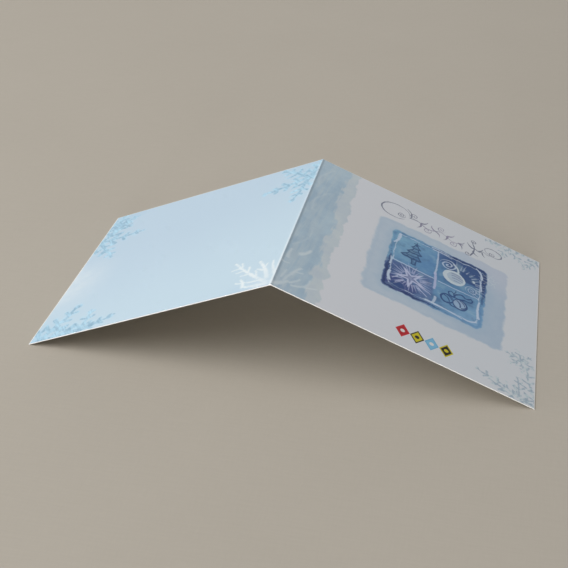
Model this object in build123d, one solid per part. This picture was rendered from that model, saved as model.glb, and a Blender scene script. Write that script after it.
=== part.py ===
from build123d import *

import os
from math import cos, radians, sin, tan

# A square greeting card: one sheet of printed board, folded once and stood up as a tent.
# Millimetres. X runs across the tent, from the back panel (-X) to the front panel (+X),
# Y runs along the fold and +Z is up. The origin is on the table, midway under the fold.

# The sheet, as cut
panel_width = 148.0  # fold to free edge, each panel
card_height = 148.0  # length of the fold
board_thickness = 0.4  # 350 g/m2 board

# The fold, as the card stands
open_angle = 135.0  # between the inner faces of the two panels

# The crease: a narrow strip on each side of the fold keeps a tighter set than the panels
crease_reach = 1.1  # width of each strip, up the slope
crease_set = 9.0  # degrees by which a strip is steeper than its panel
shoulder_radius = 1.5  # outer face, where a panel turns into its strip
fold_radius = 0.5  # outer face, along the ridge
bead_width = 0.8  # roll of pressed fibre along the inside of the fold
bead_depth = 0.1  # how far that roll swells into the card

panel_slope = radians((180.0 - open_angle) / 2.0)
strip_slope = panel_slope + radians(crease_set)


def free_corner():
    """Free edge of the inner face, which rests on the table."""
    return panel_width * cos(panel_slope), 0.0


def shoulder_corner():
    """Where the inner face of a panel meets its crease strip."""
    return crease_reach * cos(panel_slope), (panel_width - crease_reach) * sin(panel_slope)


def strip_height(x):
    """Height of the strip's inner face at a distance x from the middle of the fold."""
    shoulder_x, shoulder_z = shoulder_corner()
    return shoulder_z + (shoulder_x - x) * tan(strip_slope)


def over(corner, slope_before, slope_after):
    """The point of the outer face that lies over a corner of the inner face."""
    mean_slope = (slope_before + slope_after) / 2.0
    reach = board_thickness / cos((slope_after - slope_before) / 2.0)
    return corner[0] + reach * sin(mean_slope), corner[1] + reach * cos(mean_slope)


def mirrored(point):
    return -point[0], point[1]


def card_section():
    """The sheet seen along the fold, one board thick from edge to edge."""
    free_inner, shoulder_inner = free_corner(), shoulder_corner()
    free_outer = over(free_inner, panel_slope, panel_slope)
    shoulder_outer = over(shoulder_inner, panel_slope, strip_slope)
    ridge = 0.0, strip_height(0.0) + board_thickness / cos(strip_slope)

    bead_side = bead_width / 2.0, strip_height(bead_width / 2.0)
    bead_crown = 0.0, bead_side[1] - bead_depth
    inner_shoulder_radius = shoulder_radius + board_thickness

    with BuildSketch(Plane.XZ) as section:
        with BuildLine():
            FilletPolyline(
                free_outer,
                shoulder_outer,
                ridge,
                mirrored(shoulder_outer),
                mirrored(free_outer),
                radius=[shoulder_radius, fold_radius, shoulder_radius],
            )
            Line(mirrored(free_outer), mirrored(free_inner))
            FilletPolyline(
                mirrored(free_inner),
                mirrored(shoulder_inner),
                mirrored(bead_side),
                radius=inner_shoulder_radius,
            )
            ThreePointArc(mirrored(bead_side), bead_crown, bead_side)
            FilletPolyline(bead_side, shoulder_inner, free_inner, radius=inner_shoulder_radius)
            Line(free_inner, free_outer)
        make_face()
    return section.sketch


folded_card = extrude(card_section(), amount=card_height / 2.0, both=True)
folded_card.label = "folded_card"

os.makedirs("parts", exist_ok=True)
export_step(folded_card, "parts/folded_card.step")
print("folded_card", round(folded_card.volume, 1), "mm3,", folded_card.bounding_box())
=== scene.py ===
import re
from functools import reduce
from math import atan2, cos, pi, radians, sin, tan
from types import SimpleNamespace

import bpy
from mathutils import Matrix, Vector, noise


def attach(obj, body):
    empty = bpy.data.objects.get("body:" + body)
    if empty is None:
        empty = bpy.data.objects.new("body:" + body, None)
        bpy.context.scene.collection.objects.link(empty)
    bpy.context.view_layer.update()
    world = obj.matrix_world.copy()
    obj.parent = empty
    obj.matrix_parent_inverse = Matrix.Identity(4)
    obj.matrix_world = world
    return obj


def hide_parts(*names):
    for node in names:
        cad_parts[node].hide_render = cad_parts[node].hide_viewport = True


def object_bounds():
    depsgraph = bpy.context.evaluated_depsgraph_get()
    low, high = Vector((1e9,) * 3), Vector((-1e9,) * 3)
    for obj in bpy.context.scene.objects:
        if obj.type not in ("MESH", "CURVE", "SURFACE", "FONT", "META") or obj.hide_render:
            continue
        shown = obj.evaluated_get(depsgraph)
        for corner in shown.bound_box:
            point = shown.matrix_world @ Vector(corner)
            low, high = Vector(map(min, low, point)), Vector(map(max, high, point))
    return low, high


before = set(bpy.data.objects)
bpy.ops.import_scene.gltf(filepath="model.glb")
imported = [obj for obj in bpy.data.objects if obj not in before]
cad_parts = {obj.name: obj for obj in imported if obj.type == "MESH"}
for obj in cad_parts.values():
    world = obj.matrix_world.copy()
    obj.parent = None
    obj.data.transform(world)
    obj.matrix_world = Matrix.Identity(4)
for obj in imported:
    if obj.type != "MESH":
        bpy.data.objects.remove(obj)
cadLow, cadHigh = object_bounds()
mm = 0.001
print("frame loaded:", sorted(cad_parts))

cameraView = {
    "azimuth": 12.03,            # degrees round to the front panel's side
    "elevation": 32.05,
    "distance": 608.8 * mm,
    "aimBeside": (-3.05 * mm, -27.05 * mm, -0.4 * mm),   # what it looks at, from the card's middle
    "lens": 70.0,
    "sensor": 36.0,
}


def makeCamera():
    turn, rise = radians(cameraView["azimuth"]), radians(cameraView["elevation"])
    back = Vector((sin(turn) * cos(rise), -cos(turn) * cos(rise), sin(rise)))
    aim = (cadLow + cadHigh) / 2 + Vector(cameraView["aimBeside"])
    data = bpy.data.cameras.new("camera")
    data.lens, data.sensor_width = cameraView["lens"], cameraView["sensor"]
    data.clip_start, data.clip_end = 0.01, 100.0
    camera = bpy.data.objects.new("camera", data)
    camera.location = aim + back * cameraView["distance"]
    camera.rotation_mode = "QUATERNION"
    camera.rotation_quaternion = (-back).to_track_quat("-Z", "Y")
    bpy.context.scene.collection.objects.link(camera)
    bpy.context.scene.camera = camera


makeCamera()
print("camera placed")


# a value on its way between two nodes, so that a sum can be written as a sum
class Wire:
    def __init__(self, socket):
        self.socket, self.tree = socket, socket.id_data

    def __add__(self, other):
        return calc("ADD", self, other)

    def __sub__(self, other):
        return calc("SUBTRACT", self, other)

    def __rsub__(self, other):
        return calc("SUBTRACT", other, self)

    def __mul__(self, other):
        return calc("MULTIPLY", self, other)

    def __truediv__(self, other):
        return calc("DIVIDE", self, other)

    def __rtruediv__(self, other):
        return calc("DIVIDE", other, self)

    __radd__, __rmul__ = __add__, __mul__


def addNode(tree, kind, **settings):
    node = tree.nodes.new(kind)
    count = len(tree.nodes)
    node.location = (count % 30 * 190, count // 30 * -260)
    for name, value in settings.items():
        setattr(node, name, value)
    return node


def feed(socket, value):
    if isinstance(value, Wire):
        value.tree.links.new(value.socket, socket)
    else:
        socket.default_value = value


def feedAll(node, values):
    for socket, value in zip(node.inputs, values):
        if value is not None:
            feed(socket, value)
    return node


def treeOf(values):
    return next(v.tree for v in values if isinstance(v, Wire))


def calc(operation, *values):
    node = addNode(treeOf(values), "ShaderNodeMath", operation=operation)
    return Wire(feedAll(node, values).outputs[0])


# keeps a value between 0 and 1
def clamped(value):
    return Wire(feedAll(addNode(value.tree, "ShaderNodeClamp"), [value]).outputs[0])


# the greater of two masks, which is where either of them shows
def either(first, second):
    return calc("MAXIMUM", first, second)


# directions and places hold three numbers, and the third one isn't used on a sheet
origin = (0.0, 0.0, 0.0)
rightward, upward = (1.0, 0.0, 0.0), (0.0, 1.0, 0.0)


def calcPlace(operation, *values):
    node = feedAll(addNode(treeOf(values), "ShaderNodeVectorMath", operation=operation), values)
    return Wire(node.outputs["Value" if operation in ("LENGTH", "DOT_PRODUCT") else "Vector"])


def split(place):
    return calcPlace("DOT_PRODUCT", place, rightward), calcPlace("DOT_PRODUCT", place, upward)


def join(x, y, z=0.0):
    return Wire(feedAll(addNode(treeOf((x, y, z)), "ShaderNodeCombineXYZ"), [x, y, z]).outputs[0])


def lengthOf(x, y):
    return calc("SQRT", calc("MULTIPLY_ADD", x, x, y * y))


def shifted(place, direction, amount):
    step = feedAll(addNode(place.tree, "ShaderNodeVectorMath", operation="SCALE"), [direction])
    feed(step.inputs["Scale"], amount)
    return calcPlace("ADD", place, Wire(step.outputs[0]))


# where a place lies along and across a line through the centre, drawn at the turn
def localPlace(place, centre, turn):
    local = calcPlace("SUBTRACT", place, centre)
    cosine, sine = calc("COSINE", turn), calc("SINE", turn)
    along = calcPlace("DOT_PRODUCT", local, join(cosine, sine))
    return along, calcPlace("DOT_PRODUCT", local, join(0.0 - sine, cosine))


# 0 before low, 1 after high, eased between; the other way round where low is above high
def ease(value, low, high):
    node = addNode(treeOf((value, low, high)), "ShaderNodeMapRange",
                   interpolation_type="SMOOTHSTEP", clamp=False)
    return Wire(feedAll(node, [value, low, high]).outputs[0])


# 1 inside an edge and 0 outside it, eased over the softness on both sides
def within(away, edge, softness):
    return ease(away, edge + softness, edge - softness)


def grainNoise(place, scale, detail=2.0, roughness=0.5, seed=None):
    node = addNode(place.tree, "ShaderNodeTexNoise", noise_dimensions="3D" if seed is None else "4D")
    for name, value in (("Vector", place), ("Scale", scale), ("Detail", detail), ("Roughness", roughness)):
        feed(node.inputs[name], value)
    if seed is not None:
        feed(node.inputs["W"], seed)
    return Wire(node.outputs["Fac"])


# the same, stretched along the turn
def streakNoise(place, turn, stretchX, stretchY, detail=3.0, roughness=0.6):
    node = addNode(place.tree, "ShaderNodeMapping", vector_type="TEXTURE")
    feed(node.inputs["Vector"], place)
    isFixed = not any(isinstance(v, Wire) for v in (turn, stretchX, stretchY))
    feed(node.inputs["Rotation"], (0.0, 0.0, turn) if isFixed else join(0.0, 0.0, turn))
    feed(node.inputs["Scale"], (stretchX, stretchY, 1.0) if isFixed else join(stretchX, stretchY, 1.0))
    return grainNoise(Wire(node.outputs[0]), 1.0, detail, roughness)


def mixNumber(share, first, second):
    node = addNode(treeOf((share, first, second)), "ShaderNodeMix", data_type="FLOAT")
    for index, value in ((0, share), (2, first), (3, second)):
        feed(node.inputs[index], value)
    return Wire(node.outputs[0])


def hexColour(text):
    channels = [int(text[i:i + 2], 16) / 255 for i in (1, 3, 5)]
    return [c / 12.92 if c <= 0.04045 else ((c + 0.055) / 1.055) ** 2.4 for c in channels] + [1.0]


# lays one colour over another through a mask
def paint(under, over, mask, strength=1.0):
    share = mask if strength == 1.0 else mask * strength
    node = addNode(mask.tree, "ShaderNodeMix", data_type="RGBA")
    for index, value in ((0, share), (6, under), (7, over)):
        feed(node.inputs[index], hexColour(value) if isinstance(value, str) else value)
    return Wire(node.outputs[2])


def spaced(key):
    return re.sub("([A-Z])", r" \1", key).title()


groups = {}


# starts a shader node group: what it gives out, then each input after the place with its usual value
def newGroup(name, outputs, **inputs):
    tree = groups[name] = bpy.data.node_groups.new(name, "ShaderNodeTree")
    inputs = {"place": origin, **inputs}
    for key, value in inputs.items():
        kind = "NodeSocketVector" if isinstance(value, tuple) else "NodeSocketFloat"
        tree.interface.new_socket(spaced(key), in_out="INPUT", socket_type=kind).default_value = value
    for label in outputs:
        kind = "NodeSocketVector" if label == "Place" else "NodeSocketFloat"
        tree.interface.new_socket(label, in_out="OUTPUT", socket_type=kind)
    entry = addNode(tree, "NodeGroupInput")
    return SimpleNamespace(**{key: Wire(entry.outputs[spaced(key)]) for key in inputs})


def giveOut(*wires):
    feedAll(addNode(wires[0].tree, "NodeGroupOutput"), wires)


# places a group with the sheet's place and its own values, where a pair is a place on the sheet
def useGroup(name, place, **values):
    node = addNode(place.tree, "ShaderNodeGroup", node_tree=groups[name])
    node.label = name
    for key, value in {"place": place, **values}.items():
        feed(node.inputs[spaced(key)], (*value, 0.0) if isinstance(value, tuple) else value)
    wires = [Wire(socket) for socket in node.outputs]
    return wires[0] if len(wires) == 1 else wires


# the hand's small shake, as a shift of place
def makeHandTremor():
    given = newGroup("handTremor", ["Place"], reach=0.4, grain=3.0, seed=0.0)
    across = grainNoise(given.place, 1.0 / given.grain, detail=1.0, seed=given.seed) - 0.5
    along = grainNoise(given.place, 1.0 / given.grain, detail=1.0, seed=given.seed + 40.0) - 0.5
    reach = given.reach * 2
    giveOut(shifted(shifted(given.place, rightward, across * reach), upward, along * reach))


# one stroke of a brush or pen: from its start, at its turn, bowed to the left by its bow
def makeBrushStroke():
    given = newGroup("brushStroke", ["Mask"], start=origin, turn=0.0,
                     length=5.0, bow=0.0, startWidth=0.4, endWidth=0.2, softness=0.12)
    x, y = localPlace(given.place, given.start, given.turn)
    share = clamped(x / given.length)
    side = y - (share - share * share) * (given.bow * 4)
    away = lengthOf(x - share * given.length, side)
    half = mixNumber(share, given.startWidth, given.endWidth)
    giveOut(within(away, half, given.softness))


# an oval drawn in one go, thickest at its heavy side
def makeOval():
    given = newGroup("oval", ["Line", "Inside"], centre=origin, turn=0.0,
                     halfWidth=4.0, halfHeight=4.0, lineWidth=0.3, swell=0.4, heavySide=0.0, softness=0.12)
    x, y = localPlace(given.place, given.centre, given.turn)
    x, y = x / given.halfWidth, y / given.halfHeight
    away = (lengthOf(x, y) - 1.0) * ((given.halfWidth + given.halfHeight) * 0.5)
    lean = calc("COSINE", calc("ARCTAN2", y, x) - given.heavySide)
    half = given.lineWidth * (1.0 + given.swell * lean)
    line = within(calc("ABSOLUTE", away), half, given.softness)
    giveOut(line, ease(away, given.softness, 0.0 - given.softness))


# a spiral drawn outward to its radius, one turn to each pitch
def makeCurl():
    given = newGroup("curl", ["Mask"], centre=origin, turn=0.0,
                     radius=4.0, pitch=2.0, squash=1.0, lineWidth=0.25, softness=0.12)
    x, y = localPlace(given.place, given.centre, given.turn)
    y = y / given.squash
    away = lengthOf(x, y)
    lap = away / given.pitch - calc("ARCTAN2", y, x) / (2 * pi)
    near = calc("PINGPONG", lap, 0.5) * given.pitch
    line = within(near, given.lineWidth, given.softness)
    giveOut(line * ease(away, given.radius, given.radius - 0.4))


# a running wave, leaning like slanted penwork, that dies away at both ends
def makePenWave():
    given = newGroup("penWave", ["Mask"], start=origin, turn=0.0, length=20.0,
                     height=2.0, pitch=4.0, lean=0.4, lineWidth=0.2, softness=0.12)
    x, y = localPlace(given.place, given.start, given.turn)
    share = clamped(x / given.length)
    full = calc("SQRT", share * (1.0 - share) * 4) * given.height
    phase = (x - y * given.lean) * (2 * pi) / given.pitch
    slope = calc("COSINE", phase) * full * (2 * pi) / given.pitch
    away = calc("ABSOLUTE", y - calc("SINE", phase) * full) / calc("SQRT", slope * slope + 1.0)
    past = calc("ABSOLUTE", x - share * given.length)
    half = given.lineWidth * (1.0 + calc("SINE", phase * 0.5) * 0.35)
    giveOut(within(away + past, half, given.softness))


# a star with straight sides
def makeStar():
    given = newGroup("star", ["Inside", "Line"], centre=origin, turn=0.0,
                     points=5.0, outerRadius=8.0, innerRadius=3.0, lineWidth=0.4, softness=0.15)
    x, y = localPlace(given.place, given.centre, given.turn)
    away = lengthOf(x, y)
    sector = pi / given.points
    fold = calc("PINGPONG", calc("ARCTAN2", y, x), sector)
    along, off = away * calc("COSINE", fold), away * calc("SINE", fold)
    notchX, notchY = given.innerRadius * calc("COSINE", sector), given.innerRadius * calc("SINE", sector)
    sideX = notchX - given.outerRadius
    inward = (sideX * off - notchY * (along - given.outerRadius)) / lengthOf(sideX, notchY)
    line = within(calc("ABSOLUTE", inward - given.lineWidth), given.lineWidth, given.softness)
    giveOut(ease(inward, 0.0 - given.softness, given.softness), line)


# short strokes pointing away from a centre, uneven in length and place
def makeRays():
    given = newGroup("rays", ["Mask"], centre=origin, count=24.0,
                     innerRadius=5.0, outerRadius=12.0, lineWidth=0.25, softness=0.12, seed=0.0)
    x, y = split(calcPlace("SUBTRACT", given.place, given.centre))
    away = lengthOf(x, y)
    lap = (calc("ARCTAN2", y, x) / (2 * pi) + 1.0) * given.count
    cell = calc("FLOOR", lap)
    lot = cell + given.seed
    luck = addNode(lap.tree, "ShaderNodeTexWhiteNoise", noise_dimensions="1D")
    feed(luck.inputs["W"], lot)
    channels = addNode(lap.tree, "ShaderNodeSeparateColor")
    feed(channels.inputs[0], Wire(luck.outputs["Color"]))
    luckPlace, luckReach = Wire(channels.outputs[0]), Wire(channels.outputs[1])
    side = (lap - cell - 0.25 - luckPlace * 0.5) * away * (2 * pi) / given.count
    tip = mixNumber(luckReach, given.outerRadius, given.innerRadius * 0.6 + given.outerRadius * 0.4)
    share = (away - given.innerRadius) / (tip - given.innerRadius)
    half = given.lineWidth * (1.15 - share)
    line = within(calc("ABSOLUTE", side), half, given.softness)
    giveOut(line * ease(share, -0.03, 0.03) * ease(share, 1.0, 0.9))


# a six-armed frost crystal with side branches at sixty degrees
def makeIceCrystal():
    given = newGroup("iceCrystal", ["Mask"], centre=origin, turn=0.0, reach=20.0,
                     armWidth=0.8, branchSpacing=4.0, branchReach=7.0, branchWidth=0.5, softness=0.3)
    x, y = localPlace(given.place, given.centre, given.turn)
    away = lengthOf(x, y)
    fold = calc("PINGPONG", calc("ARCTAN2", y, x), pi / 6)
    along, off = away * calc("COSINE", fold), away * calc("SINE", fold)
    over = calc("MAXIMUM", along - given.reach, 0.0)
    half = given.armWidth * (1.0 - along / given.reach * 0.5)
    arm = within(lengthOf(off, over), half, given.softness)
    root = along - off / tan(pi / 3)         # where a branch through this point leaves the arm
    near = calc("PINGPONG", root, given.branchSpacing * 0.5) * sin(pi / 3)
    length = given.branchReach * (1.08 - root / given.reach)
    past = calc("MAXIMUM", off / sin(pi / 3) - length, 0.0)
    branch = within(lengthOf(near, past), given.branchWidth, given.softness)
    onArm = ease(root, given.branchSpacing * 0.5, given.branchSpacing * 0.5 + 0.3)
    onArm = onArm * ease(root, given.reach, given.reach - 0.3)
    giveOut(either(arm, branch * onArm))


# a patch laid with a wet brush: a rounded box with a ragged outline, and the line where the paint gathers
def makeWashPatch():
    given = newGroup("washPatch", ["Inside", "Rim"], centre=origin,
                     halfWidth=10.0, halfHeight=10.0, corner=3.0, ragged=0.8, grain=5.0, softness=0.4,
                     rimDepth=0.8, seed=0.0)
    rough = grainNoise(given.place, 1.0 / given.grain, detail=3.0, seed=given.seed)
    local = calcPlace("ABSOLUTE", calcPlace("SUBTRACT", given.place, given.centre))
    straight = join(given.halfWidth - given.corner, given.halfHeight - given.corner)
    local = calcPlace("SUBTRACT", local, straight)
    x, y = split(local)
    outside = calcPlace("LENGTH", calcPlace("MAXIMUM", local, origin))
    inside = calc("MINIMUM", calc("MAXIMUM", x, y), 0.0)
    away = outside + inside - given.corner + (rough - 0.5) * (given.ragged * 2)
    rim = ease(calc("ABSOLUTE", away + given.rimDepth), given.rimDepth, 0.0)
    giveOut(ease(away, given.softness, 0.0 - given.softness), rim)


# a small tile stood on its corner, with a border and a round middle
def makeLozenge():
    given = newGroup("lozenge", ["Inside", "Border", "Middle"], centre=origin,
                     halfWidth=3.2, halfHeight=4.6, borderWidth=0.6, middleRadius=1.2, softness=0.08)
    local = calcPlace("SUBTRACT", given.place, given.centre)
    x, y = split(calcPlace("ABSOLUTE", local))
    inward = (1.0 - x / given.halfWidth - y / given.halfHeight) * (given.halfWidth * 0.82)
    inside = ease(inward, 0.0 - given.softness, given.softness)
    middle = within(calcPlace("LENGTH", local), given.middleRadius, given.softness)
    giveOut(inside, within(inward, given.borderWidth, given.softness) * inside, middle)


# the streaks that a nearly dry brush leaves
def makeDryBrush():
    given = newGroup("dryBrush", ["Paint"], turn=0.0, streakLength=12.0,
                     streakWidth=0.8, load=0.5, contrast=0.12)
    streaks = streakNoise(given.place, given.turn, given.streakLength, given.streakWidth)
    empty = 1.0 - given.load
    giveOut(ease(streaks, empty - given.contrast, empty + given.contrast))


# the board itself: the felt's fine tooth, the cloudy formation of the pulp, and stray fibres
def makeBoardTooth():
    given = newGroup("boardTooth", ["Height", "Tone", "Fibre"], toothGrain=0.35, cloudGrain=6.0)
    tooth = grainNoise(given.place, 1.0 / given.toothGrain, detail=4.0, roughness=0.6)
    cloud = grainNoise(given.place, 1.0 / given.cloudGrain, detail=2.0)
    fibre = streakNoise(given.place, 0.3, 1.6, 0.32, detail=2.0, roughness=0.7)
    giveOut(tooth * 0.7 + fibre * 0.3, cloud * 0.5 + tooth * 0.3 + fibre * 0.2, ease(fibre, 0.62, 0.74))


# how bare the ink is: rubbed off in a hairline along the cut border, which is also a painted highlight on the
# edges, and cracked along the fold
def makeInkWearAndEdgeHighlight():
    given = newGroup("inkWearAndEdgeHighlight", ["Border", "Fold"], halfWidth=148.0, height=148.0,
                     borderWidth=0.5, foldWidth=0.35, raggedness=0.5)
    x, y = split(given.place)
    chips = (grainNoise(given.place, 2.2, detail=3.0, roughness=0.65) - 0.5) * given.raggedness
    toSide = calc("MINIMUM", y, given.height - y)
    toEdge = calc("MINIMUM", toSide, given.halfWidth - calc("ABSOLUTE", x))
    border = ease(toEdge + chips, given.borderWidth, given.borderWidth * 0.4)
    threads = streakNoise(given.place, 0.0, 0.3, 1.1, roughness=0.7)
    fold = ease(calc("ABSOLUTE", x), given.foldWidth * 2, 0.0) * ease(threads, 0.46, 0.6)
    giveOut(border, fold)


for makeGroup in (makeHandTremor, makeBrushStroke, makeOval, makeCurl, makePenWave, makeStar, makeRays,
                  makeIceCrystal, makeWashPatch, makeLozenge, makeDryBrush, makeBoardTooth, makeInkWearAndEdgeHighlight):
    makeGroup()
print("effects made:", len(groups))

studio = {
    "floorSize": 4.4,
    "floorColour": ("#c5bdb0", "#b7afa2"),
    "floorGrain": 1.1 * mm,
    "floorRoughness": (0.8, 0.9),
    "roomLight": ("#ffffff", 0.258),
    # colour, watts, width, distance, degrees from overhead, degrees round from the front panel's side, beam
    "lamps": {
        "key": ("#ffffff", 57.0, 2.6, 2.6, 55, 202, 180),
        "top": ("#ffffff", 8.4, 2.6, 2.6, 0, 0, 180),
        "rim": ("#ffffff", 1.4, 0.8, 1.5, 75, 90, 180),
        "low": ("#ffffff", 0.38, 0.3, 6.0, 88.3, 270, 8),
    },
}


def makeStudio():
    scene = bpy.context.scene
    scene.view_settings.view_transform = "Standard"
    world = bpy.data.worlds.new("room")
    scene.world = world
    world.use_nodes = True
    colour, strength = studio["roomLight"]
    background = world.node_tree.nodes["Background"]
    background.inputs["Color"].default_value = hexColour(colour)
    background.inputs["Strength"].default_value = strength

    for name, (colour, watts, width, distance, fromTop, around, beam) in studio["lamps"].items():
        tip, turn = radians(fromTop), radians(around)
        place = Vector((sin(tip) * cos(turn), sin(tip) * sin(turn), cos(tip))) * distance
        data = bpy.data.lights.new(name, "AREA")
        data.shape, data.size, data.spread = "DISK", width, radians(beam)
        data.energy, data.color = watts, hexColour(colour)[:3]
        lamp = bpy.data.objects.new(name, data)
        lamp.location = place
        lamp.rotation_mode = "QUATERNION"
        lamp.rotation_quaternion = (-place).to_track_quat("-Z", "Y")
        scene.collection.objects.link(lamp)

    half = studio["floorSize"] / 2
    mesh = bpy.data.meshes.new("floor")
    corners = [(-half, -half, 0), (half, -half, 0), (half, half, 0), (-half, half, 0)]
    mesh.from_pydata(corners, [], [(0, 1, 2, 3)])
    floor = bpy.data.objects.new("floor", mesh)
    floor.location.z = cadLow.z
    scene.collection.objects.link(floor)
    material = bpy.data.materials.new("floor")
    material.use_nodes = True
    tree = material.node_tree
    shader = tree.nodes["Principled BSDF"]
    place = Wire(addNode(tree, "ShaderNodeTexCoord").outputs["Object"])
    grain = studio["floorGrain"]
    warp = streakNoise(place, 0.0, grain * 14, grain)
    weft = streakNoise(place, 0.0, grain, grain * 9)
    cloud = grainNoise(place, 9.0)
    tone = paint(*studio["floorColour"], warp * 0.4 + weft * 0.3 + cloud * 0.3)
    feed(shader.inputs["Base Color"], tone)
    feed(shader.inputs["Roughness"], mixNumber(warp, *studio["floorRoughness"]))
    mesh.materials.append(material)


makeStudio()
print("studio lit")

board = {
    "thickness": 0.4 * mm,
    "openAngle": 135.0,
    "creaseReach": 1.1 * mm,      # width of the strip on each side of the fold, up the slope
    "creaseSet": 9.0,             # degrees by which a strip is steeper than its panel
    "shoulderRadius": 1.5 * mm,
    "foldRadius": 0.5 * mm,
    "beadWidth": 0.8 * mm,        # roll of pressed fibre inside the fold
    "beadDepth": 0.1 * mm,
    "cutRound": 0.05 * mm,        # what the guillotine rounds off the cut edges
    "creaseShake": 0.03 * mm,     # unevenness of the pressed ridge
    "creaseGrain": 2.6 * mm,
    "creaseSeed": 3.1,
    "cockle": 0.05 * mm,          # how far the panels swell with the damp
    "cockleGrain": 55 * mm,
    "cockleSeed": 7.7,
    "stepAcross": 4.0 * mm,
    "stepAlong": 1.0 * mm,
}

# where each part of the surface lies on the baked map: left, bottom, width, height
bakeLayout = {
    "front": (0.005, 0.215, 0.605, 0.78),
    "back": (0.62, 0.215, 0.375, 0.78),
    "inside": (0.005, 0.005, 0.605, 0.195),
    "nearCut": (0.62, 0.005, 0.375, 0.04),
    "farCut": (0.62, 0.055, 0.375, 0.04),
    "backCut": (0.62, 0.105, 0.375, 0.04),
    "frontCut": (0.62, 0.155, 0.375, 0.04),
}


# joins corners by straight runs, and rounds each middle corner to its radius
def roundedPath(corners, radii, arcSteps=6):
    path = [corners[0]]
    for before, corner, after, radius in zip(corners, corners[1:], corners[2:], radii):
        inward, outward = (corner - before).normalized(), (after - corner).normalized()
        turn = atan2(inward.x * outward.y - inward.y * outward.x, inward.dot(outward))
        start = corner - inward * radius * tan(abs(turn) / 2)
        centre = start + Vector((-inward.y, inward.x)) * (radius if turn > 0 else -radius)
        spoke = start - centre
        for i in range(arcSteps + 1):
            cosine, sine = cos(turn * i / arcSteps), sin(turn * i / arcSteps)
            turned = (spoke.x * cosine - spoke.y * sine, spoke.x * sine + spoke.y * cosine)
            path.append(centre + Vector(turned))
    return path + [corners[-1]]


# the sheet seen along the fold: for each station its outer point, inner point and distance from the fold
def cardStations():
    thickness = board["thickness"]
    slope = radians((180 - board["openAngle"]) / 2)
    strip = slope + radians(board["creaseSet"])
    width = (cadHigh.x - thickness * sin(slope)) / cos(slope)
    shoulder = Vector((board["creaseReach"] * cos(slope), (width - board["creaseReach"]) * sin(slope)))
    lift = thickness / cos((strip - slope) / 2)
    middle = (slope + strip) / 2
    shoulderOut = shoulder + Vector((sin(middle), cos(middle))) * lift
    apex = shoulder.y + shoulder.x * tan(strip)
    beadSide = board["beadWidth"] / 2

    def insideHeight(x):
        if x >= beadSide:
            return apex - x * tan(strip)
        return apex - beadSide * tan(strip) - board["beadDepth"] * (1 - (x / beadSide) ** 2)

    freeOut = Vector((cadHigh.x, thickness * cos(slope)))
    mirrored = [Vector((-p.x, p.y)) for p in (freeOut, shoulderOut)]
    path = roundedPath([*mirrored, Vector((0, apex + thickness / cos(strip))), shoulderOut, freeOut],
                       [board["shoulderRadius"], board["foldRadius"], board["shoulderRadius"]])
    across = []                      # the same path, with the long runs divided
    for start, end in zip(path, path[1:]):
        parts = max(1, round((end - start).length / board["stepAcross"]))
        across += [start.lerp(end, i / parts) for i in range(parts)]
    across.append(path[-1])
    edge = board["cutRound"]
    across.insert(1, across[0].lerp(across[1], edge / (across[1] - across[0]).length))
    across.insert(-1, across[-1].lerp(across[-2], edge / (across[-1] - across[-2]).length))

    reach = [0.0]
    for start, end in zip(across, across[1:]):
        reach.append(reach[-1] + (end - start).length)
    stations = []
    for point, along in zip(across, reach):
        side = 1 if point.x > 0 else -1
        if abs(point.x) > shoulderOut.x:
            inner = point - Vector((sin(slope) * side, cos(slope))) * thickness
        else:
            x = abs(point.x) * shoulder.x / shoulderOut.x
            inner = Vector((x * side, insideHeight(x)))
        stations.append((point, inner, along - reach[-1] / 2))
    return stations


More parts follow.
